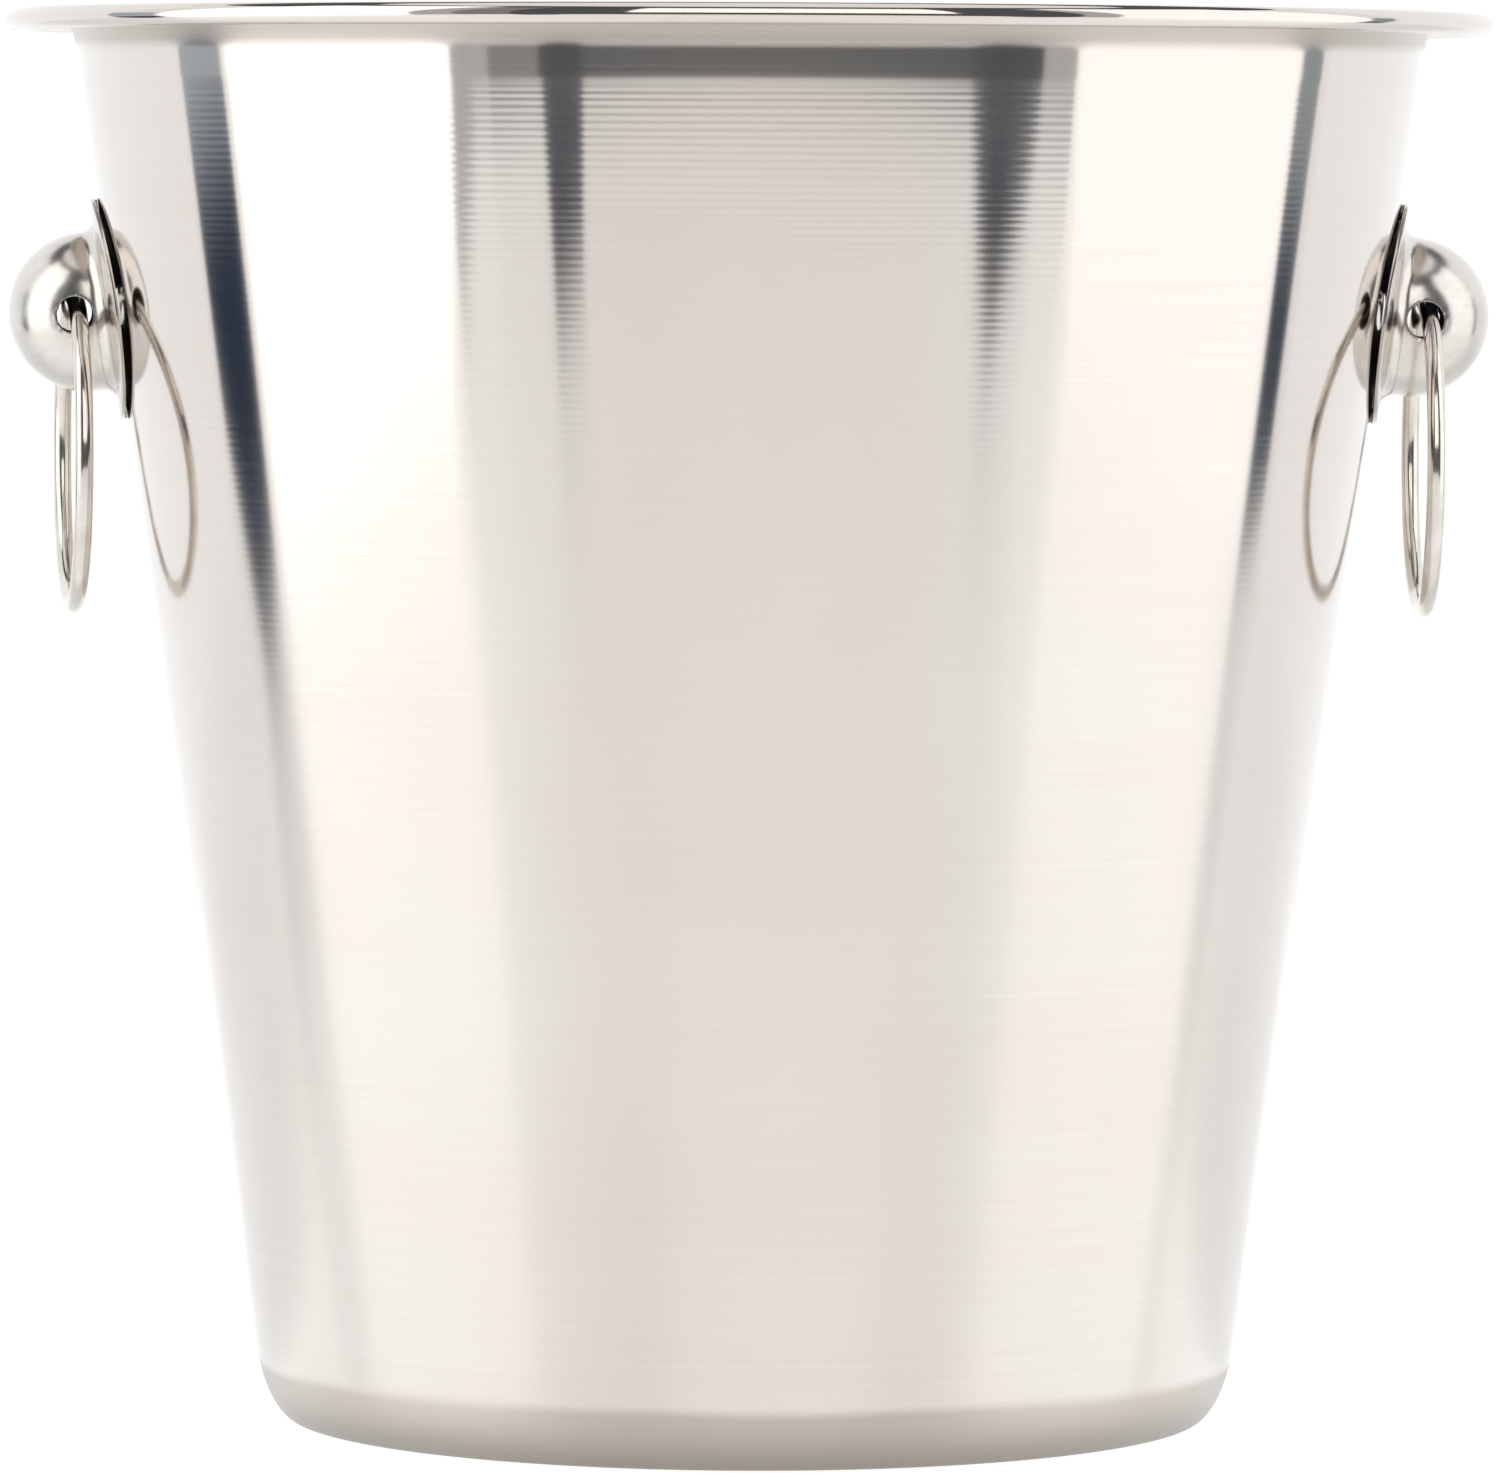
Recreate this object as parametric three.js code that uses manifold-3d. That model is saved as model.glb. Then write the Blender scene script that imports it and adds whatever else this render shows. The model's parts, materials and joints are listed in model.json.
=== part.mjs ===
import * as THREE from 'three';
import Module from 'manifold-3d';

const wasm = await Module();
wasm.setup();

// Driving sizes of the bucket, in millimetres. +Z is up and the table is at Z = 0.
const overallHeight = 203;
const rimDiameter = 215;
const rimOverhang = 9.8; // how far the rim stands out past the line of the wall
const footDiameter = 138.4; // where the line of the wall would meet the table
const bucketSheet = 0.8;
const cornerHeight = 10.3; // the wall starts to turn under at this height
const cornerReach = 4.1; // how far the flat base stops short of the foot diameter
const lipBend = 2; // hollow radius between the wall and the underside of the lip
const beadDiameter = 3.1; // rolled edge of the lip, hollow
const beadTurn = 270; // degrees that the edge is rolled through

// Driving sizes of the two pressed knobs
const knobDrop = 43; // knob centre below the rim
const knobForward = 3.25; // degrees that each knob stands forward of a true diameter
const domeDiameter = 22.9;
const domeReach = 3.4; // dome centre out from the wall
const neckBend = 2; // hollow radius between dome and flange
const flangeLand = 2.55; // flat width of the flange outside the neck
const knobSheet = 0.6;
const seatGap = 0.35; // flange to wall, filled by the spot welds
const flangeHug = 0.8; // share of the roundness of the wall that the flange is bent to

// Driving sizes of the two rings
const ringDiameter = 44.2; // to the middle of the wire
const wireDiameter = 2.6;
const holePlay = 2.8; // hole diameter minus wire diameter
const wireDrop = 0.5; // the wire rests this far below the middle of its holes
const crownGap = 1.3; // ring to wall inside the dome, when the ring is held straight out
const ringSkew = 3.3; // degrees that a loose ring turns in its holes

const weldDiameter = 2.2;
const weldClearance = 0.05; // on each side of a weld nugget

// Facets of the curved faces
const bodySteps = 80;
const cornerSteps = 8;
const lipBendSteps = 4;
const beadSteps = 9;
const knobSteps = 40;
const domeSteps = 8;
const neckSteps = 4;
const holeSteps = 24;
const ringSteps = 48;
const wireSteps = 12;
const weldSteps = 16;

const degrees = Math.PI / 180;
const rimRadius = rimDiameter / 2;
const footRadius = footDiameter / 2;
const wallSlope = (rimRadius - rimOverhang - footRadius) / overallHeight;
const wallAngle = Math.atan(wallSlope);
const beadRadius = beadDiameter / 2;
const domeRadius = domeDiameter / 2;
const domeMiddle = domeRadius - knobSheet / 2;
const ringRadius = ringDiameter / 2;
const wireRadius = wireDiameter / 2;
const crownRise = ringRadius - Math.sqrt(ringRadius ** 2 - domeMiddle ** 2);
const knobHeight = overallHeight - knobDrop;
const knobWallRadius = footRadius + wallSlope * knobHeight;
const pivotReach = crownRise + wireRadius + crownGap; // hole centres out from the wall
const holeReach = pivotReach - domeReach;
const holeRadius = wireRadius + holePlay / 2;
const flangeTop = seatGap + knobSheet;
const neckHeight = flangeTop + neckBend;
const neckPlace = Math.sqrt((domeRadius + neckBend) ** 2 - (neckHeight - domeReach) ** 2);
const flangeRadius = neckPlace + flangeLand;
const roundHandle = 0.5523; // share of a corner at which its curve has a handle
const pointGrid = 1e5; // points nearer than a hundred-thousandth of a millimetre are one

// A point on the face of a sheet, with the direction that faces away from the metal
function facePoint(x, y, nx, ny) {
  return { x, y, nx, ny };
}

// Points along an arc. A hollow arc has the metal outside it, and a round one has it inside.
function arcPoints(centreX, centreY, radius, fromDegrees, toDegrees, steps, hollow) {
  const side = hollow ? -1 : 1;
  const points = [];
  for (let i = 0; i <= steps; i += 1) {
    const angle = (fromDegrees + (toDegrees - fromDegrees) * i / steps) * degrees;
    const cos = Math.cos(angle);
    const sin = Math.sin(angle);
    points.push(facePoint(centreX + radius * cos, centreY + radius * sin, side * cos, side * sin));
  }
  return points;
}

// The outline of a sheet: out along its face and back along the other side
function sheetOutline(face, thickness) {
  const front = face.map((p) => new THREE.Vector2(p.x, p.y));
  const back = face.map((p) => new THREE.Vector2(p.x - thickness * p.nx, p.y - thickness * p.ny));
  return front.concat(back.reverse());
}

// Turns an outline about the Z axis
function turned(outline, steps) {
  const geometry = new THREE.LatheGeometry(outline, steps);
  geometry.rotateX(Math.PI / 2);
  return geometry;
}

function bucketFace() {
  const cornerX = footRadius - cornerReach;
  const wallX = footRadius + wallSlope * cornerHeight;
  const corner = new THREE.CubicBezierCurve(
    new THREE.Vector2(cornerX, 0),
    new THREE.Vector2(cornerX + roundHandle * cornerReach, 0),
    new THREE.Vector2(wallX - roundHandle * wallSlope * cornerHeight, cornerHeight * (1 - roundHandle)),
    new THREE.Vector2(wallX, cornerHeight)
  );
  const face = [facePoint(0, 0, 0, -1)];
  for (let i = 0; i <= cornerSteps; i += 1) {
    const point = corner.getPoint(i / cornerSteps);
    const along = corner.getTangent(i / cornerSteps);
    face.push(facePoint(point.x, point.y, along.y, -along.x));
  }
  const underLip = overallHeight - bucketSheet;
  const bendY = underLip - lipBend;
  const bendX = footRadius + wallSlope * bendY + lipBend / Math.cos(wallAngle);
  const bendStart = 180 - wallAngle / degrees;
  face.push(...arcPoints(bendX, bendY, lipBend, bendStart, 90, lipBendSteps, true));
  const beadX = rimRadius - beadRadius;
  const beadY = overallHeight - beadRadius;
  face.push(...arcPoints(beadX, beadY, beadRadius - bucketSheet, 90, 90 - beadTurn, beadSteps, true));
  return face;
}

function knobFace() {
  const neckAngle = Math.atan2(neckHeight - domeReach, neckPlace) / degrees;
  const face = arcPoints(0, domeReach, domeRadius, 90, neckAngle, domeSteps, false);
  face.push(...arcPoints(neckPlace, neckHeight, neckBend, 180 + neckAngle, 270, neckSteps, true).slice(1));
  face.push(facePoint(flangeRadius, flangeTop, 0, 1));
  return face;
}

function toManifold(geometry) {
  const welded = geometry.clone();
  const positions = welded.getAttribute('position');
  const index = welded.getIndex();
  const places = new Map();
  const verts = [];
  const remap = [];
  for (let i = 0; i < positions.count; i += 1) {
    const point = [positions.getX(i), positions.getY(i), positions.getZ(i)];
    const key = point.map((v) => Math.round(v * pointGrid)).join(' ');
    if (!places.has(key)) {
      places.set(key, verts.length / 3);
      verts.push(...point);
    }
    remap.push(places.get(key));
  }
  const tris = [];
  for (let i = 0; i < index.count; i += 3) {
    const a = remap[index.getX(i)];
    const b = remap[index.getX(i + 1)];
    const c = remap[index.getX(i + 2)];
    if (a !== b && b !== c && a !== c) {
      tris.push(a, b, c);
    }
  }
  return new wasm.Manifold(new wasm.Mesh({
    numProp: 3,
    vertProperties: new Float32Array(verts),
    triVerts: new Uint32Array(tris)
  }));
}

function toGeometry(solid) {
  const mesh = solid.getMesh();
  const geometry = new THREE.BufferGeometry();
  geometry.setAttribute('position', new THREE.BufferAttribute(new Float32Array(mesh.vertProperties), 3));
  geometry.setIndex(Array.from(mesh.triVerts));
  geometry.computeVertexNormals();
  return geometry;
}

// Bends the flange of a knob back towards the round wall
function hugWall(geometry) {
  const position = geometry.getAttribute('position');
  for (let i = 0; i < position.count; i += 1) {
    const x = position.getX(i);
    const y = position.getY(i);
    const share = Math.max(0, (Math.hypot(x, y) - neckPlace) / flangeLand);
    position.setZ(i, position.getZ(i) - flangeHug * share * y * y / (2 * knobWallRadius));
  }
  geometry.computeVertexNormals();
  return geometry;
}

// A pressed knob with its two holes, standing on the plane Z = 0 with its holes along Y
function knobGeometry() {
  const dome = toManifold(turned(sheetOutline(knobFace(), knobSheet).reverse(), knobSteps));
  const drill = new THREE.CylinderGeometry(holeRadius, holeRadius, 4 * domeRadius, holeSteps);
  drill.translate(0, 0, pivotReach);
  return hugWall(toGeometry(dome.subtract(toManifold(drill))));
}

// The place of a knob: its own Z axis leaves the wall squarely, and its Y axis runs round the bucket
function knobFrame(azimuth) {
  const outward = new THREE.Vector3(Math.cos(azimuth), Math.sin(azimuth), 0);
  const around = new THREE.Vector3(-Math.sin(azimuth), Math.cos(azimuth), 0);
  const leave = outward.clone().multiplyScalar(Math.cos(wallAngle));
  leave.z = -Math.sin(wallAngle);
  const along = new THREE.Vector3().crossVectors(around, leave);
  const foot = outward.clone().multiplyScalar(knobWallRadius);
  foot.z = knobHeight;
  const place = new THREE.Matrix4().makeBasis(along, around, leave);
  place.setPosition(foot);
  return place;
}

// The place of a ring that hangs from its holes, turned a little in them
function ringFrame(azimuth) {
  const pivot = new THREE.Vector3(0, 0, pivotReach).applyMatrix4(knobFrame(azimuth));
  const holeSpan = Math.sqrt(domeMiddle ** 2 - holeReach ** 2);
  const hang = Math.sqrt(ringRadius ** 2 - holeSpan ** 2);
  const turn = azimuth + ringSkew * degrees;
  const across = new THREE.Vector3(-Math.sin(turn), Math.cos(turn), 0);
  const up = new THREE.Vector3(0, 0, 1);
  const place = new THREE.Matrix4().makeBasis(across, up, new THREE.Vector3().crossVectors(across, up));
  place.setPosition(pivot.x, pivot.y, pivot.z - wireDrop - hang);
  return place;
}

const satinSteel = { color: 0xc4c1be, metalness: 1, roughness: 0.32 };
const polishedSteel = { color: 0xd2d0cd, metalness: 1, roughness: 0.12 };
const satin = new THREE.MeshStandardMaterial(satinSteel);
const polished = new THREE.MeshStandardMaterial(polishedSteel);

const bucket = new THREE.Group();

function addMesh(name, geometry, material) {
  const mesh = new THREE.Mesh(geometry, material);
  mesh.name = name;
  bucket.add(mesh);
}

addMesh('bucket_body', turned(sheetOutline(bucketFace(), bucketSheet), bodySteps), satin);

const sides = [
  { name: 'left', azimuth: (180 + knobForward) * degrees },
  { name: 'right', azimuth: -knobForward * degrees }
];
for (const side of sides) {
  const frame = knobFrame(side.azimuth);
  addMesh(`knob_${side.name}`, knobGeometry().applyMatrix4(frame), polished);
  const ring = new THREE.TorusGeometry(ringRadius, wireRadius, wireSteps, ringSteps);
  addMesh(`ring_${side.name}`, ring.applyMatrix4(ringFrame(side.azimuth)), polished);
  const weldPlace = flangeRadius - flangeLand / 2;
  for (const [word, offset] of [['upper', -weldPlace], ['lower', weldPlace]]) {
    const height = seatGap - 2 * weldClearance;
    const weld = new THREE.CylinderGeometry(weldDiameter / 2, weldDiameter / 2, height, weldSteps);
    weld.rotateX(Math.PI / 2);
    weld.translate(offset, 0, seatGap / 2);
    addMesh(`weld_${side.name}_${word}`, weld.applyMatrix4(frame), satin);
  }
}

export default bucket;
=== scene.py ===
import json
import math

import bmesh
import bpy
from mathutils import Matrix, Vector


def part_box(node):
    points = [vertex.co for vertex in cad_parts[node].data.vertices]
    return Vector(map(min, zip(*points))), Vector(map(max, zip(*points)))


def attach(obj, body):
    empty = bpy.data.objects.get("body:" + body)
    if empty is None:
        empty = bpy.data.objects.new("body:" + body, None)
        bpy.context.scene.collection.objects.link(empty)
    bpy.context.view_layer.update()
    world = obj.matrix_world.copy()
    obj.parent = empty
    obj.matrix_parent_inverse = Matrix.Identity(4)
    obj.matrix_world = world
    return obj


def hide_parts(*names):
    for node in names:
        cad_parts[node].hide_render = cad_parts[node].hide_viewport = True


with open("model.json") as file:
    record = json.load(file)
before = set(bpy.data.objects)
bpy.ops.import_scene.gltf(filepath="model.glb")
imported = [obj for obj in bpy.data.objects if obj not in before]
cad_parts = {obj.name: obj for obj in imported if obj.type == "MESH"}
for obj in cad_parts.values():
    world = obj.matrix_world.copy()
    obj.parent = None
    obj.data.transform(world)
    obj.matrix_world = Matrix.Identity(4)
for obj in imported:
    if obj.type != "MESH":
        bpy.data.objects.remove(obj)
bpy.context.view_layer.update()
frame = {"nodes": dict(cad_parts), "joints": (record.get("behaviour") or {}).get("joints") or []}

scene = bpy.context.scene
scene.view_settings.view_transform = "Standard"
print("frame loaded:", len(frame["nodes"]), "nodes")

view = {
    "distance": 1.5164,  # from the axis of the bucket, in metres
    "height": 0.18335,
    "turn": 1.2,  # degrees that the camera stands round to the left
    "aim": 0.0155,  # degrees that it looks past the axis
    "dip": 3.203,
    "roll": 0.2435,
    "lens": 252.18,
    "sensor": 36.0,
}


def placeCamera():
    turn = math.radians(view["turn"])
    yaw = turn + math.radians(view["aim"])
    dip = math.radians(view["dip"])
    roll = math.radians(view["roll"])
    forward = Vector((math.sin(yaw) * math.cos(dip), math.cos(yaw) * math.cos(dip), -math.sin(dip)))
    right = forward.cross(Vector((0, 0, 1))).normalized()
    up = right.cross(forward)
    tiltedRight = right * math.cos(roll) + up * math.sin(roll)
    tiltedUp = up * math.cos(roll) - right * math.sin(roll)
    turned = Matrix((tiltedRight, tiltedUp, -forward)).transposed().to_4x4()
    place = Vector((-view["distance"] * math.sin(turn), -view["distance"] * math.cos(turn), view["height"]))
    data = bpy.data.cameras.new("camera")
    data.lens = view["lens"]
    data.sensor_width = view["sensor"]
    data.clip_end = 50
    camera = bpy.data.objects.new("camera", data)
    camera.matrix_world = Matrix.Translation(place) @ turned
    scene.collection.objects.link(camera)
    scene.camera = camera


placeCamera()
print("camera placed")


# One socket of a node tree, so that sums on it are written as plain arithmetic
class Strand:
    def __init__(self, tree, socket=None):
        self.tree = tree
        self.socket = socket

    # Adds a node: its settings come first, then the values or links of its sockets
    def node(self, kind, settings=None, sockets=None, output=0):
        made = self.tree.nodes.new(kind)
        for name, value in (settings or {}).items():
            setattr(made, name, value)
        for name, value in (sockets or {}).items():
            target = made.inputs[name]
            if isinstance(value, Strand):
                self.tree.links.new(value.socket, target)
            else:
                target.default_value = value
        if not made.outputs:
            return made
        return Strand(self.tree, made.outputs[output])

    def sum(self, operation, *values):
        return self.node("ShaderNodeMath", {"operation": operation}, dict(enumerate(values)))

    def __add__(self, other):
        return self.sum("ADD", self, other)

    def __radd__(self, other):
        return self.sum("ADD", other, self)

    def __sub__(self, other):
        return self.sum("SUBTRACT", self, other)

    def __rsub__(self, other):
        return self.sum("SUBTRACT", other, self)

    def __mul__(self, other):
        return self.sum("MULTIPLY", self, other)

    def __rmul__(self, other):
        return self.sum("MULTIPLY", other, self)

    def __truediv__(self, other):
        return self.sum("DIVIDE", self, other)

    # 0 below low and 1 above high, smooth between them
    def rise(self, low, high):
        settings = {"interpolation_type": "SMOOTHSTEP"}
        return self.node("ShaderNodeMapRange", settings, {"Value": self, "From Min": low, "From Max": high})

    def sine(self):
        return self.sum("SINE", self)

    def squareRoot(self):
        return self.sum("SQRT", self)

    # Separates a vector into its three numbers
    def parts(self):
        self.node("ShaderNodeSeparateXYZ", None, {"Vector": self})
        outputs = self.tree.nodes[-1].outputs
        return [Strand(self.tree, socket) for socket in outputs]

    # Noise on coordinates that are stretched by three numbers
    def noise(self, stretch, detail=2.0, roughness=0.5):
        vector = self.node("ShaderNodeVectorMath", {"operation": "MULTIPLY"}, {0: self, 1: stretch})
        sockets = {"Vector": vector, "Scale": 1.0, "Detail": detail, "Roughness": roughness}
        return self.node("ShaderNodeTexNoise", None, sockets)

    # A colour between two others
    def blendColour(self, first, second):
        settings = {"data_type": "RGBA"}
        mixed = self.node("ShaderNodeMix", settings, {"Factor": self}, 2)
        node = mixed.socket.node
        for socket, colour in ((node.inputs[6], first), (node.inputs[7], second)):
            if isinstance(colour, Strand):
                self.tree.links.new(colour.socket, socket)
            else:
                socket.default_value = (*colour, 1.0)
        return mixed


def startMaterial(name):
    material = bpy.data.materials.new(name)
    material.use_nodes = True
    tree = material.node_tree
    tree.nodes.clear()
    start = Strand(tree)
    coordinates = start.node("ShaderNodeTexCoord", None, None, 3)
    return material, start, coordinates


def finishMaterial(start, sockets):
    surface = start.node("ShaderNodeBsdfPrincipled", None, sockets)
    start.node("ShaderNodeOutputMaterial", None, {"Surface": surface})


# Bare metal whose grain stands up by the height, in metres
def finishSteel(start, colour, rough, height, more=None):
    normal = start.node("ShaderNodeBump", None, {"Strength": 1.0, "Distance": 1.0, "Height": height})
    sockets = {"Base Color": colour, "Metallic": 1.0, "Roughness": rough, "Normal": normal}
    sockets.update(more or {})
    finishMaterial(start, sockets)


# Pairs of numbers are the heights, or for beadReach the radii, between which a finish or a painted shade
# fades in
satin = {
    "steel": (0.665, 0.610, 0.570),
    "paleSteel": (0.695, 0.645, 0.610),
    "roughness": 0.085,
    "lowRoughness": 0.13,  # further down, where the marks are finer
    "anisotropy": 0.7,
    "upperWall": (0.10, 0.19),
    "turnedMarks": 0.00102,  # pitch of the marks left by the turning tool
    "markHeight": 0.0000012,
    "streakHeight": 0.0000006,
    "plainBand": (0.1905, 0.1925),  # no turned marks above it
    # painted shade: the band under the lip is coloured darker for the shade and reflection of the lip above
    # it
    "lipShadeSteel": (0.50, 0.45, 0.41),
    "brushedRoughness": 0.30,  # of the narrow brushed band under the lip, whose darker colour is painted shade
    "brushedAndShadedBand": (0.1966, 0.1986),
    "lipFoot": (0.1999, 0.2003),
    "beadRoughness": 0.07,
    "beadHeight": (0.1996, 0.2002),
    "beadReach": (0.1036, 0.1042),
    # painted shade: the corner, and the foot darker still, are coloured darker for the contact shadow that
    # they reflect
    "cornerShadeSteel": (0.57, 0.52, 0.48),
    "cornerRoughness": 0.42,
    "cornerTop": (0.0082, 0.0104),
    "cornerWaver": 0.0016,  # how far the top of the corner's rougher finish and painted shade strays
    "footShadowSteel": (0.37, 0.335, 0.305),
    "footShade": 0.008,
}


def satinSteel():
    material, start, place = startMaterial("satinSteel")
    x, y, z = place.parts()
    radius = (x * x + y * y).squareRoot()
    streaks = place.noise((9, 9, 2600), 3.0, 0.6)
    clouds = place.noise((14, 14, 30), 2.0)
    wander = place.noise((6, 6, 180), 1.0)
    waver = place.noise((25, 25, 4), 2.0)
    upper = z.rise(*satin["upperWall"])
    plain = 1 - z.rise(*satin["plainBand"])
    brushedAndShaded = z.rise(*satin["brushedAndShadedBand"])
    lip = z.rise(*satin["lipFoot"])
    bead = z.rise(*satin["beadHeight"]) * radius.rise(*satin["beadReach"])
    corner = 1 - (z + satin["cornerWaver"] * waver).rise(*satin["cornerTop"])
    marks = ((z / satin["turnedMarks"] + wander) * (2 * math.pi)).sine()
    strength = (0.25 + 0.75 * upper) * (0.4 + 0.6 * clouds.rise(0.2, 0.7))
    height = marks * strength * plain * satin["markHeight"] + streaks * satin["streakHeight"]
    wall = (0.5 * streaks + 0.5 * clouds).rise(0.25, 0.75).blendColour(satin["steel"], satin["paleSteel"])
    # painted shade: the brushed band under the lip is darkened for the lip's shade and its reflected
    # underside
    underLip = (brushedAndShaded * (1 - lip)).blendColour(wall, satin["lipShadeSteel"])
    # painted shade: darker colour over the corner and darkest at the foot, for the contact shadow reflected
    # there
    foot = z.rise(0, satin["footShade"]).blendColour(satin["footShadowSteel"], satin["cornerShadeSteel"])
    colour = corner.blendColour(underLip, foot)
    rough = satin["lowRoughness"] + upper * (satin["roughness"] - satin["lowRoughness"])
    rough = rough * (0.85 + 0.3 * streaks)
    rough = rough + corner * (satin["cornerRoughness"] - satin["roughness"])
    rough = rough * (1 - brushedAndShaded) + brushedAndShaded * satin["brushedRoughness"]
    rough = rough * (1 - bead) + bead * satin["beadRoughness"]
    # a quarter turn spreads the highlights up and down, across the turned marks
    spread = {"Anisotropic": satin["anisotropy"], "Anisotropic Rotation": 0.25}
    finishSteel(start, colour, rough, height, spread)
    return material


knobFinish = {
    "steel": (0.60, 0.56, 0.52),
    "paleSteel": (0.70, 0.665, 0.63),
    "roughness": 0.19,
    "scuffRoughness": 0.05,
    "grain": 5200,
    "grainHeight": 0.0000035,
}


def knobSteel():
    material, start, place = startMaterial("knobSteel")
    grain = place.noise((knobFinish["grain"],) * 3, 3.0, 0.6)
    clouds = place.noise((140, 140, 140), 3.0)
    scuffs = place.noise((500, 90, 700), 2.0, 0.7)
    patches = (0.6 * clouds + 0.4 * scuffs).rise(0.3, 0.7)
    colour = patches.blendColour(knobFinish["steel"], knobFinish["paleSteel"])
    rough = knobFinish["roughness"] * (0.7 + 0.6 * clouds) + knobFinish["scuffRoughness"] * scuffs
    finishSteel(start, colour, rough, grain * knobFinish["grainHeight"])
    return material


ringFinish = {
    "steel": (0.62, 0.575, 0.52),
    "paleSteel": (0.72, 0.68, 0.63),
    "roughness": 0.11,
    "dustRoughness": 0.05,
    "dustHeight": 0.0000012,
}


def ringSteel():
    material, start, place = startMaterial("ringSteel")
    clouds = place.noise((220, 220, 220), 3.0)
    dust = place.noise((2600, 2600, 2600), 2.0, 0.6)
    colour = clouds.rise(0.3, 0.7).blendColour(ringFinish["steel"], ringFinish["paleSteel"])
    rough = ringFinish["roughness"] * (0.7 + 0.6 * clouds) + ringFinish["dustRoughness"] * dust
    finishSteel(start, colour, rough, dust * ringFinish["dustHeight"])
    return material


# The unpolished inner face of a knob, coloured dark as a painted shade for the inside of the knob
insideShadeFinish = {
    "steel": (0.14, 0.13, 0.125),
    "otherSteel": (0.22, 0.21, 0.20),
    "spread": (0.3, 0.7),
    "roughness": 0.55,
    "grain": 900,
    "grainHeight": 0.00001,
}

weldFinish = {
    "steel": (0.34, 0.32, 0.31),
    "otherSteel": (0.42, 0.34, 0.25),  # heat tint
    "spread": (0.35, 0.65),
    "roughness": 0.45,
    "grain": 1500,
    "grainHeight": 0.00002,
}


def mottledSteel(name, finish):
    material, start, place = startMaterial(name)
    mottle = place.noise((finish["grain"],) * 3, 3.0)
    colour = mottle.rise(*finish["spread"]).blendColour(finish["steel"], finish["otherSteel"])
    rough = finish["roughness"] * (0.8 + 0.4 * mottle)
    finishSteel(start, colour, rough, mottle * finish["grainHeight"])
    return material


materials = {
    "satin": satinSteel(),
    "knob": knobSteel(),
    "inside": mottledSteel("insideShadeSteel", insideShadeFinish),
    "ring": ringSteel(),
    "weld": mottledSteel("weldMetal", weldFinish),
}
print("materials made:", len(materials))


def newTree(name, inputs):
    tree = bpy.data.node_groups.new(name, "GeometryNodeTree")
    tree.interface.new_socket("Geometry", in_out="OUTPUT", socket_type="NodeSocketGeometry")
    for title, kind in inputs:
        tree.interface.new_socket(title, in_out="INPUT", socket_type=kind)
    groupIn = tree.nodes.new("NodeGroupInput")
    strands = {title: Strand(tree, groupIn.outputs[title]) for title, kind in inputs}
    return tree, Strand(tree), strands


def closeTree(start, shape, material):
    whole = start.node("GeometryNodeRealizeInstances", None, {"Geometry": shape})
    painted = start.node("GeometryNodeSetMaterial", None, {"Geometry": whole, "Material": material})
    start.node("NodeGroupOutput", None, {"Geometry": painted})


# Turns a chain of points in the XZ plane about the Z axis
def turnedTree():
    inputs = [
        ("Chain", "NodeSocketGeometry"),
        ("Steps", "NodeSocketInt"),
        ("Weld Distance", "NodeSocketFloat"),
        ("Material", "NodeSocketMaterial"),
    ]
    tree, start, given = newTree("turnedSheet", inputs)
    settings = {"component": "MESH"}
    count = start.node("GeometryNodeAttributeDomainSize", settings, {"Geometry": given["Chain"]})
    sockets = {"Size X": 1.0, "Size Y": 1.0, "Vertices X": given["Steps"] + 1, "Vertices Y": count}
    grid = start.node("GeometryNodeMeshGrid", None, sockets)
    index = start.node("GeometryNodeInputIndex")
    column = start.sum("FLOOR", (index + 0.5) / count)
    row = index - column * count
    place = start.node("GeometryNodeInputPosition")
    settings = {"data_type": "FLOAT_VECTOR", "domain": "POINT"}
    sockets = {"Geometry": given["Chain"], "Value": place, "Index": row}
    chainPoint = start.node("GeometryNodeSampleIndex", settings, sockets)
    reach, side, height = chainPoint.parts()
    angle = column / given["Steps"] * (2 * math.pi)
    sockets = {"X": reach * start.sum("COSINE", angle), "Y": reach * angle.sine(), "Z": height}
    turned = start.node("ShaderNodeCombineXYZ", None, sockets)
    shaped = start.node("GeometryNodeSetPosition", None, {"Geometry": grid, "Position": turned})
    sockets = {"Geometry": shaped, "Distance": given["Weld Distance"]}
    welded = start.node("GeometryNodeMergeByDistance", None, sockets)
    smooth = start.node("GeometryNodeSetShadeSmooth", None, {"Geometry": welded})
    closeTree(start, smooth, given["Material"])
    return tree


# Sweeps a round wire along a circle in the XY plane
def wireTree():
    inputs = [
        ("Geometry", "NodeSocketGeometry"),
        ("Ring Radius", "NodeSocketFloat"),
        ("Wire Radius", "NodeSocketFloat"),
        ("Steps", "NodeSocketInt"),
        ("Wire Steps", "NodeSocketInt"),
        ("Material", "NodeSocketMaterial"),
    ]
    tree, start, given = newTree("wireRing", inputs)
    kind = "GeometryNodeCurvePrimitiveCircle"
    path = start.node(kind, None, {"Resolution": given["Steps"], "Radius": given["Ring Radius"]})
    wire = start.node(kind, None, {"Resolution": given["Wire Steps"], "Radius": given["Wire Radius"]})
    swept = start.node("GeometryNodeCurveToMesh", None, {"Curve": path, "Profile Curve": wire})
    smooth = start.node("GeometryNodeSetShadeSmooth", None, {"Geometry": swept})
    closeTree(start, smooth, given["Material"])
    return tree


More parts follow.
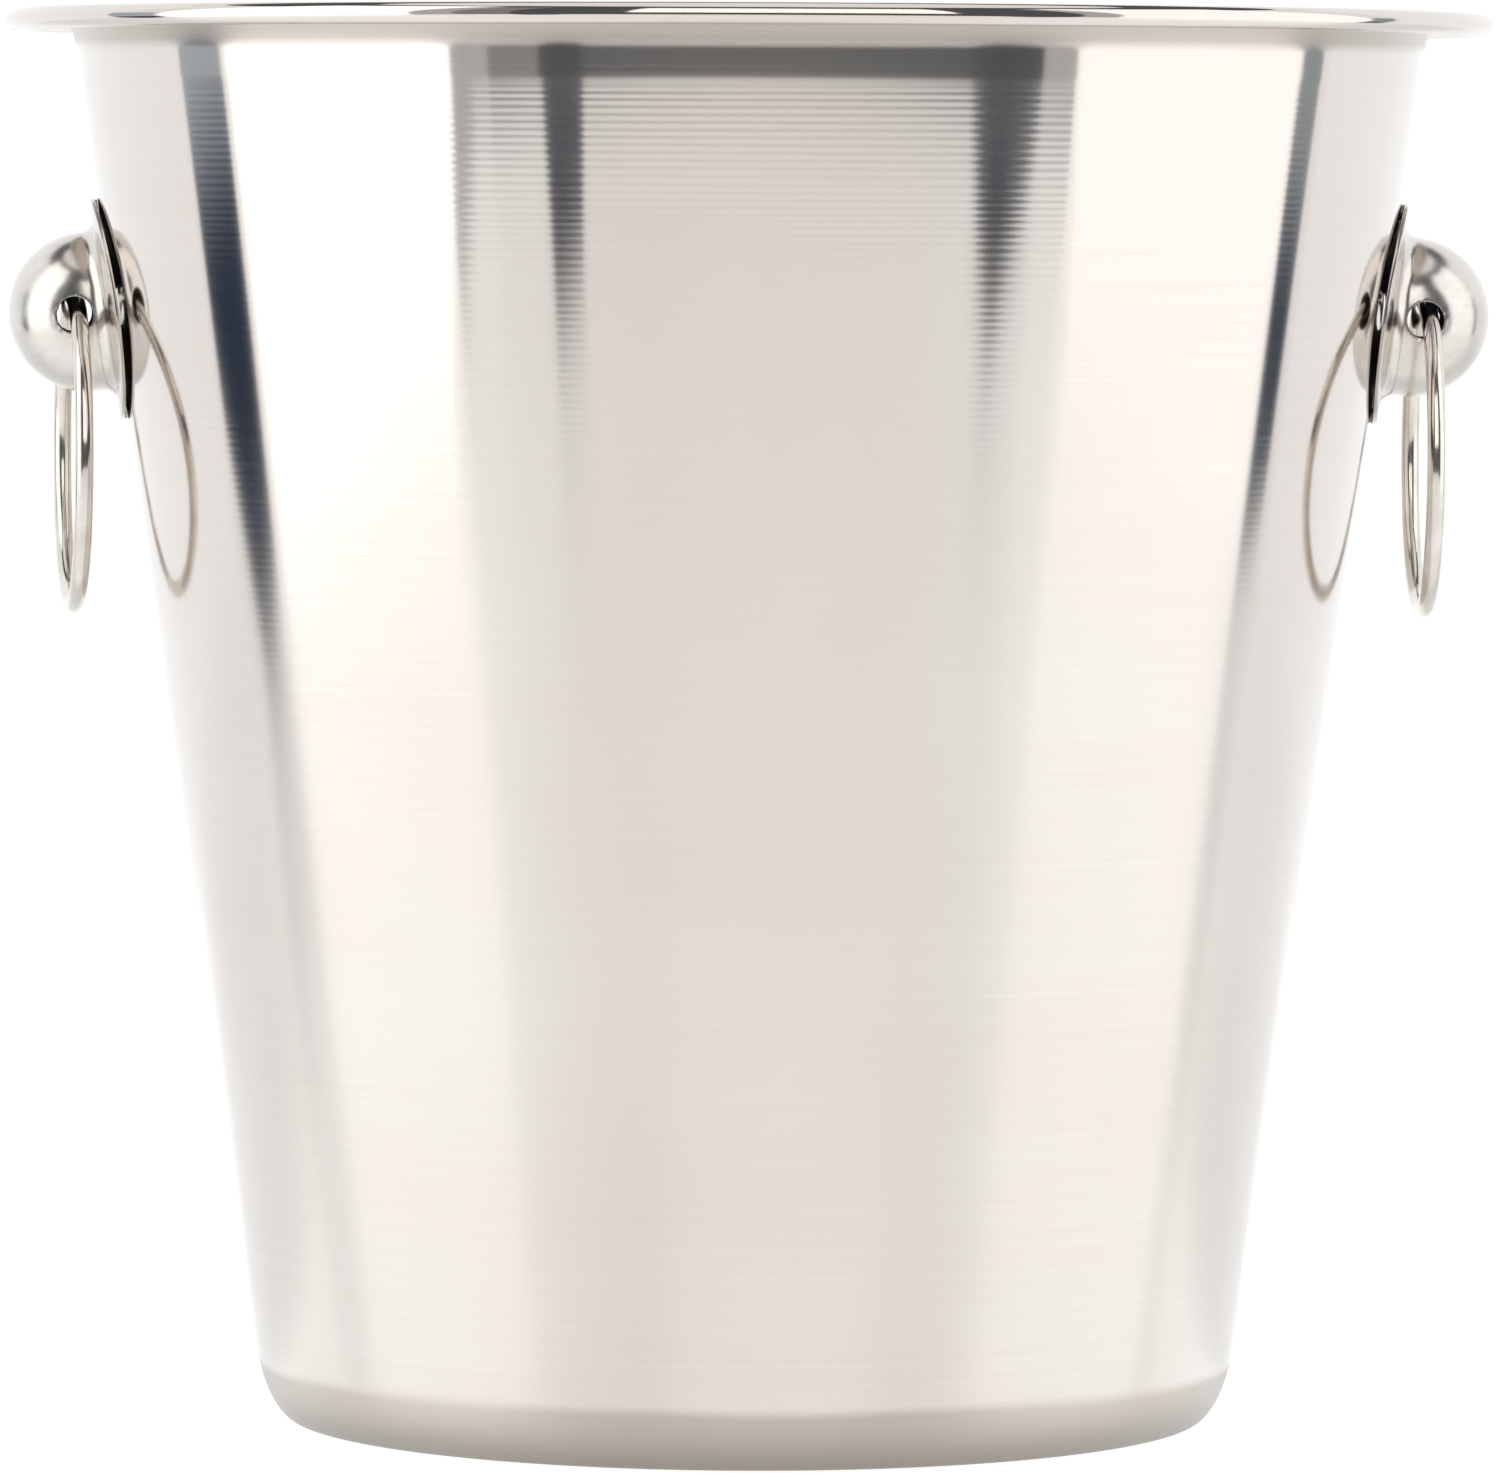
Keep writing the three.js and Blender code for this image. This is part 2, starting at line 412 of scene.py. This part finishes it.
# Runs a tree on a chain of points and keeps the result as a plain mesh
def madeByTree(name, tree, points, values):
    mesh = bpy.data.meshes.new(name)
    edges = [(i, i + 1) for i in range(len(points) - 1)]
    mesh.from_pydata([(x, 0, z) for x, z in points], edges, [])
    piece = bpy.data.objects.new(name, mesh)
    scene.collection.objects.link(piece)
    modifier = piece.modifiers.new(tree.name, "NODES")
    modifier.node_group = tree
    for item in tree.interface.items_tree:
        if item.in_out == "INPUT" and item.name in values:
            modifier[item.identifier] = values[item.name]
    applyModifiers(piece)
    return piece


def applyModifiers(piece):
    bpy.context.view_layer.update()
    evaluated = piece.evaluated_get(bpy.context.evaluated_depsgraph_get())
    mesh = bpy.data.meshes.new_from_object(evaluated)
    piece.modifiers.clear()
    piece.data = mesh
    mesh.name = piece.name


def faceOutwards(piece):
    bm = bmesh.new()
    bm.from_mesh(piece.data)
    bmesh.ops.recalc_face_normals(bm, faces=bm.faces)
    bm.to_mesh(piece.data)
    bm.free()


# Points on an arc in the XZ plane, from one angle to another in degrees
def arc(centre, radius, first, last, steps):
    points = []
    for i in range(steps + 1):
        angle = math.radians(first + (last - first) * i / steps)
        points.append((centre[0] + radius * math.cos(angle), centre[1] + radius * math.sin(angle)))
    return points


# The same line moved to its left by the thickness of the sheet
def otherSide(points, thickness):
    moved = []
    for i, (x, z) in enumerate(points):
        before = points[max(i - 1, 0)]
        after = points[min(i + 1, len(points) - 1)]
        along = Vector((after[0] - before[0], after[1] - before[1])).normalized()
        moved.append((x - along.y * thickness, z + along.x * thickness))
    return moved


nearPoints = 0.000002  # points of a turned sheet nearer than this are one

shell = {
    "footRadius": 0.0692,  # where the line of the wall meets the table
    "overhang": 0.0098,
    "sheet": 0.0008,
    "cornerHeight": 0.0103,
    "cornerReach": 0.0041,
    "lipBend": 0.002,
    "beadRadius": 0.00155,
    "beadTurn": 270,
    "bandFoot": 0.1922,  # the wall stands a little steeper above this height
    "bandTilt": 1.1,
    "bandRise": 0.0014,
    "flareFoot": 0.1966,
    "flareTilt": 13.0,
    "steps": 320,
    "wallStep": 0.0025,
    "bandStep": 0.0002,  # near the bends under the lip
}


# The flat base and the turned corner
def baseFace(slope):
    foot = shell["footRadius"]
    tall = shell["cornerHeight"]
    startX = foot - shell["cornerReach"]
    wallX = foot + slope * tall
    handle = 0.5523  # share of a corner at which its curve has a handle
    a = Vector((startX, 0))
    b = Vector((startX + handle * shell["cornerReach"], 0))
    c = Vector((wallX - handle * slope * tall, tall * (1 - handle)))
    d = Vector((wallX, tall))
    baseSteps = 12
    points = [(0, 0)]
    for i in range(1, baseSteps):
        points.append((startX * (i / baseSteps) ** 0.7, 0))
    cornerSteps = 20
    for i in range(cornerSteps + 1):
        t = i / cornerSteps
        p = a * (1 - t) ** 3 + b * 3 * t * (1 - t) ** 2 + c * 3 * t * t * (1 - t) + d * t ** 3
        points.append((p.x, p.y))
    return points


# The wall from a point up to the bend under the lip, and its lean at the top
def wallFace(x, z, slope, bendFoot):
    points = []
    tilt = slope
    while bendFoot - z > 0.00001:
        step = shell["wallStep"] if z < shell["bandFoot"] - 0.003 else shell["bandStep"]
        step = min(step, bendFoot - z)
        steeper = smooth(z, shell["bandFoot"], shell["bandFoot"] + shell["bandRise"])
        flared = smooth(z, shell["flareFoot"], bendFoot)
        tilt = slope - math.radians(shell["bandTilt"]) * steeper + math.radians(shell["flareTilt"]) * flared
        x += tilt * step
        z += step
        points.append((x, z))
    return points, math.atan(tilt)


def shellFace(rimRadius, height):
    slope = (rimRadius - shell["overhang"] - shell["footRadius"]) / height
    underLip = height - shell["sheet"]
    bend = shell["lipBend"]
    points = baseFace(slope)
    wall, lean = wallFace(*points[-1], slope, underLip - bend * (1 + math.sin(math.atan(slope))))
    points += wall
    x, z = points[-1]
    bendSteps = 10
    bent = arc((x + bend * math.cos(lean), underLip - bend), bend, 180 - math.degrees(lean), 90, bendSteps)
    lift = z - bent[0][1]
    points += [(px, pz + lift * (1 - i / bendSteps)) for i, (px, pz) in enumerate(bent)][1:]
    beadX = rimRadius - shell["beadRadius"]
    lipX = points[-1][0]
    lipSteps = 8
    points += [(lipX + (beadX - lipX) * i / lipSteps, underLip) for i in range(1, lipSteps)]
    inner = shell["beadRadius"] - shell["sheet"]
    points += arc((beadX, height - shell["beadRadius"]), inner, 90, 90 - shell["beadTurn"], 30)
    return points


# 0 at low and 1 at high, with no kink at either end
def smooth(value, low, high):
    t = min(max((value - low) / (high - low), 0), 1)
    return t * t * (3 - 2 * t)


def makeShell():
    low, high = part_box("bucket_body")
    face = shellFace(high.x, high.z)
    back = otherSide(face, shell["sheet"])
    back[0] = (0, shell["sheet"])
    values = {"Steps": shell["steps"], "Weld Distance": nearPoints, "Material": materials["satin"]}
    piece = madeByTree("bucketShell", turnedSheet, face + back[::-1], values)
    faceOutwards(piece)
    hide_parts("bucket_body")
    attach(piece, "bucket")


turnedSheet = turnedTree()
wireRing = wireTree()
makeShell()
print("bucket shell made")


knob = {
    "domeRadius": 0.01145,
    "domeReach": 0.0034,  # dome centre out from the wall
    "neckBend": 0.002,
    "flangeLand": 0.00255,
    "flangeHug": 0.8,  # share of the roundness of the wall that the flange is bent to
    "sheet": 0.0006,
    "seatGap": 0.00035,
    "holeRadius": 0.0027,
    "wireDrop": 0.0005,
    "dimpleDepth": 0.0003,
    "dimpleWidth": 0.0022,
    "edgeRound": 0.0002,
    "steps": 168,
}


flangeTop = knob["seatGap"] + knob["sheet"]
neckHeight = flangeTop + knob["neckBend"]
neckRise = neckHeight - knob["domeReach"]
neckPlace = math.sqrt((knob["domeRadius"] + knob["neckBend"]) ** 2 - neckRise ** 2)


# The outer face of a knob, from its crown to the edge of its flange
def knobFace():
    angle = math.degrees(math.atan2(neckRise, neckPlace))
    points = arc((0, knob["domeReach"]), knob["domeRadius"], 90, angle, 44)
    points += arc((neckPlace, neckHeight), knob["neckBend"], 180 + angle, 270, 12)[1:]
    landSteps = 8
    points += [(neckPlace + knob["flangeLand"] * i / landSteps, flangeTop) for i in range(1, landSteps + 1)]
    points[0] = (0, points[0][1])
    return points


# Bends the flange back towards the round wall
def hugWall(piece, wallRadius):
    for vertex in piece.data.vertices:
        x, y, z = vertex.co
        share = max(0, (math.hypot(x, y) - neckPlace) / knob["flangeLand"])
        vertex.co.z = z - knob["flangeHug"] * share * y * y / (2 * wallRadius)


# Presses a shallow dimple round each hole and cuts the holes through the sheet
def cutHoles(piece, holeHeight):
    bm = bmesh.new()
    bm.from_mesh(piece.data)
    radius = knob["holeRadius"]
    dimpleFoot = radius * 0.6
    dimpleEdge = radius + knob["dimpleWidth"]
    crown = Vector((0, 0, knob["domeReach"]))

    def fromAxis(point):
        return math.hypot(point.x, point.z - holeHeight)

    def nearHole(point, reach):
        return fromAxis(point) < reach and abs(point.y) > radius

    for vertex in bm.verts:
        away = fromAxis(vertex.co)
        if nearHole(vertex.co, dimpleEdge):
            share = 1 - smooth(away, dimpleFoot, dimpleEdge)
            vertex.co += (crown - vertex.co).normalized() * knob["dimpleDepth"] * share
    gone = [face for face in bm.faces if nearHole(face.calc_center_median(), radius)]
    bmesh.ops.delete(bm, geom=gone, context="FACES")
    rim = [v for v in bm.verts if v.is_boundary and nearHole(v.co, radius * 1.3)]
    for vertex in rim:
        scale = radius / fromAxis(vertex.co)
        vertex.co.x *= scale
        vertex.co.z = holeHeight + (vertex.co.z - holeHeight) * scale
    bm.to_mesh(piece.data)
    bm.free()


# The place of a knob, whose own Z axis leaves the wall squarely
def knobPlace(joint):
    low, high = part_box("bucket_body")
    slope = (high.x - shell["overhang"] - shell["footRadius"]) / high.z
    lean = math.atan(slope)
    hole = Vector(joint["pos_m"]) + Vector((0, 0, knob["wireDrop"]))
    outward = Vector((hole.x, hole.y, 0)).normalized()
    around = Vector((-outward.y, outward.x, 0))
    leave = outward * math.cos(lean) - Vector((0, 0, math.sin(lean)))
    # how far the hole is from the line of the wall
    reach = (math.hypot(hole.x, hole.y) - shell["footRadius"] - slope * hole.z) * math.cos(lean)
    along = around.cross(leave)
    turnedFrame = Matrix((along, around, leave)).transposed().to_4x4()
    foot = hole - leave * reach
    return Matrix.Translation(foot) @ turnedFrame, reach, math.hypot(foot.x, foot.y)


def makeKnob(side, joint):
    values = {"Steps": knob["steps"], "Weld Distance": nearPoints, "Material": materials["knob"]}
    piece = madeByTree(side + "Knob", turnedSheet, knobFace(), values)
    place, reach, wallRadius = knobPlace(joint)
    upright(piece)
    cutHoles(piece, reach)
    hugWall(piece, wallRadius)
    piece.data.materials.append(materials["inside"])
    sheet = piece.modifiers.new("sheet", "SOLIDIFY")
    sheet.thickness = knob["sheet"]
    sheet.offset = -1
    sheet.material_offset = 1
    edge = piece.modifiers.new("edge", "BEVEL")
    edge.width = knob["edgeRound"]
    edge.segments = 3
    edge.limit_method = "ANGLE"
    edge.angle_limit = math.radians(50)
    applyModifiers(piece)
    piece.data.transform(place)
    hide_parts("knob_" + side)
    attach(piece, "bucket")


# Makes the faces of an open cap look away from the wall
def upright(piece):
    crown = max(piece.data.polygons, key=lambda face: face.center.z)
    if crown.normal.z < 0:
        piece.data.flip_normals()


ring = {
    "wireRadius": 0.0013,
    "steps": 180,
    "wireSteps": 28,
}


def makeRing(side, joint):
    low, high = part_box("ring_" + side)
    radius = (high.z - low.z) / 2 - ring["wireRadius"]
    values = {
        "Ring Radius": radius,
        "Wire Radius": ring["wireRadius"],
        "Steps": ring["steps"],
        "Wire Steps": ring["wireSteps"],
        "Material": materials["ring"],
    }
    piece = madeByTree(side + "Ring", wireRing, [(0, 0), (0, radius)], values)
    across = Vector(joint["axis"]).normalized()
    up = Vector((0, 0, 1))
    turnedFrame = Matrix((across, up, across.cross(up))).transposed().to_4x4()
    piece.data.transform(Matrix.Translation((low + high) / 2) @ turnedFrame)
    faceOutwards(piece)
    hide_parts("ring_" + side)
    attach(piece, side + "_ring")


for joint in frame["joints"]:
    side = joint["name"].split("_")[0]
    makeKnob(side, joint)
    makeRing(side, joint)
    print(side, "knob and ring made")

for name, node in frame["nodes"].items():
    if name.startswith("weld_"):
        node.data.materials.clear()
        node.data.materials.append(materials["weld"])
print("weld nuggets finished")


stage = {
    "floorRadius": 3.0,
    "floorTint": (0.24, 0.238, 0.235),
    "otherFloorTint": (0.26, 0.258, 0.255),
    "floorRoughness": 0.35,
    "plainGlow": (0.83, 0.825, 0.815),
    "lampGlow": (0.88, 0.90, 0.91),
    "lampBearing": 67,  # the floor is brighter towards the lamps on both sides
    "lampSpread": 52,
    "duskGlow": (0.59, 0.61, 0.62),
    "duskBearing": 127,  # and darker behind them
    "duskSpread": 37,
    "worldTint": (0.99, 1.0, 1.0),
    "worldStrength": 1.05,
}


def plainGlow(name, colour, strength):
    material = bpy.data.materials.new(name)
    material.use_nodes = True
    material.node_tree.nodes.clear()
    start = Strand(material.node_tree)
    glow = start.node("ShaderNodeEmission", None, {"Color": (*colour, 1.0), "Strength": strength})
    start.node("ShaderNodeOutputMaterial", None, {"Surface": glow})
    return material


# A glow that changes from one colour at the foot of a card to another at its top
def risingGlow(name, low, high, foot, top):
    material, start, place = startMaterial(name)
    x, y, z = place.parts()
    colour = z.rise(foot, top).blendColour(low, high)
    glow = start.node("ShaderNodeEmission", None, {"Color": colour, "Strength": 1.0})
    start.node("ShaderNodeOutputMaterial", None, {"Surface": glow})
    return material


# 1 at a bearing on either side and 0 beyond its spread, both in degrees
def nearBearing(start, x, y, bearing, spread):
    turn = math.radians(bearing)
    towards = start.sum("ABSOLUTE", x) * math.sin(turn) - y * math.cos(turn)
    away = towards / (x * x + y * y).squareRoot()
    return away.rise(math.cos(math.radians(spread)), 1.0)


def makeFloor():
    mesh = bpy.data.meshes.new("floor")
    bm = bmesh.new()
    bmesh.ops.create_circle(bm, cap_ends=True, segments=96, radius=stage["floorRadius"])
    bm.to_mesh(mesh)
    bm.free()
    floor = bpy.data.objects.new("floor", mesh)
    scene.collection.objects.link(floor)
    material, start, place = startMaterial("paleFloor")
    clouds = place.noise((9, 9, 9), 2.0).rise(0.3, 0.7)
    x, y, z = place.parts()
    lamp = nearBearing(start, x, y, stage["lampBearing"], stage["lampSpread"])
    dusk = nearBearing(start, x, y, stage["duskBearing"], stage["duskSpread"])
    glow = lamp.blendColour(stage["plainGlow"], stage["lampGlow"])
    finishMaterial(start, {
        "Base Color": clouds.blendColour(stage["floorTint"], stage["otherFloorTint"]),
        "Roughness": stage["floorRoughness"],
        "Emission Color": dusk.blendColour(glow, stage["duskGlow"]),
        "Emission Strength": 1.0,
    })
    mesh.materials.append(material)


# A studio card that curves round the bucket. Each row of its outline is a height and two
# bearings, in degrees from the camera's side and positive to the camera's right.
def card(name, distance, rows, material, lights=False):
    mesh = bpy.data.meshes.new(name)
    columns = 24
    vertices = []
    for height, first, last in rows:
        for i in range(columns + 1):
            bearing = math.radians(first + (last - first) * i / columns - view["turn"])
            vertices.append((distance * math.sin(bearing), -distance * math.cos(bearing), height))
    faces = []
    for r in range(len(rows) - 1):
        for c in range(columns):
            a = r * (columns + 1) + c
            b = a + columns + 1
            faces.append((a, a + 1, b + 1, b))
    mesh.from_pydata(vertices, [], faces)
    addStage(name, mesh, material, lights)


# Studio cards show only in reflections, and the lamps among them also light the floor
def addStage(name, mesh, material, lights=False):
    mesh.materials.append(material)
    panel = bpy.data.objects.new(name, mesh)
    scene.collection.objects.link(panel)
    panel.visible_camera = False
    panel.visible_shadow = False
    panel.visible_diffuse = lights


def makeStudio():
    world = bpy.data.worlds.new("studio")
    scene.world = world
    world.use_nodes = True
    world.node_tree.nodes.clear()
    start = Strand(world.node_tree)
    sockets = {"Color": (*stage["worldTint"], 1.0), "Strength": stage["worldStrength"]}
    light = start.node("ShaderNodeBackground", None, sockets)
    start.node("ShaderNodeOutputWorld", None, {"Surface": light})
    navy = (0.010, 0.026, 0.058)
    soot = (0.012, 0.022, 0.042)
    smoke = (0.21, 0.23, 0.26)
    coolWhite = plainGlow("coolWhite", (0.985, 1.0, 1.0), 1.75)
    warmWhite = plainGlow("warmWhite", (0.99, 1.0, 1.0), 1.52)
    frontGlow = plainGlow("frontGlow", (1.0, 0.98, 0.96), 1.6)
    paleSheet = plainGlow("paleSheet", (0.97, 0.99, 1.0), 1.17)
    leftDusk = risingGlow("leftDusk", navy, (0.50, 0.56, 0.62), 0.073, 0.125)
    rightDusk = risingGlow("rightDusk", navy, (0.36, 0.40, 0.42), 0.055, 0.10)
    darkRoom = plainGlow("darkRoom", (0.105, 0.112, 0.118), 1.0)
    greyRoom = plainGlow("greyRoom", (0.28, 0.283, 0.285), 1.0)
    paleRoom = plainGlow("paleRoom", (0.55, 0.555, 0.56), 1.0)
    darkLeg = risingGlow("darkLeg", soot, smoke, 0.022, 0.054)
    card("leftBox", 0.60, [(0.001, -93.5, -52), (0.06, -93.5, -48), (1.0, -93.5, -48)], coolWhite, True)
    card("rightBox", 0.66, [(0.001, 56, 101), (0.06, 53.5, 101), (1.0, 53.5, 101)], warmWhite, True)
    card("frontLight", 0.77, [(0.25, -17, 29), (0.9, -17, 29)], frontGlow)
    card("rearSheet", 0.70, [(0.001, 110, 254), (0.8, 110, 254)], paleSheet)
    leftFoot = [(0.0, -101.5, -99), (0.01, -103, -95.5)]
    card("leftGap", 0.595, leftFoot + [(0.05, -106, -95), (0.3, -106, -94)], leftDusk)
    card("rightGap", 0.655, [(0.005, 101.2, 101.8), (0.025, 101.5, 107), (0.3, 102, 108)], rightDusk)
    card("frontRoom", 0.82, [(0.0, -50, 54), (1.6, -50, 54)], darkRoom)
    card("leftRoom", 0.81, [(0.0, -50, -42.5), (1.6, -50, -42.5)], paleRoom)
    card("middleRoom", 0.815, [(0.0, -43, -34), (1.6, -43, -34)], greyRoom)
    card("rightRoom", 0.81, [(0.0, 48, 54), (1.6, 48, 54)], paleRoom)
    card("leftLeg", 0.66, [(0.008, -49.5, -48.5), (0.02, -49.5, -47), (0.05, -49.5, -43)], paleRoom)
    card("middleLeg", 0.64, [(0.0, -32.2, -31.5), (0.01, -32.3, -27.5), (0.05, -33.3, -26)], darkLeg)
    rightFoot = [(0.0, 40.3, 41.3), (0.016, 38, 43.7)]
    card("rightLeg", 0.648, rightFoot + [(0.028, 37, 45.5), (0.05, 34.5, 48)], darkLeg)
    card("highRail", 0.75, [(0.95, -180, 180), (1.5, -180, 180)], darkRoom)


makeFloor()
makeStudio()
print("stage made")
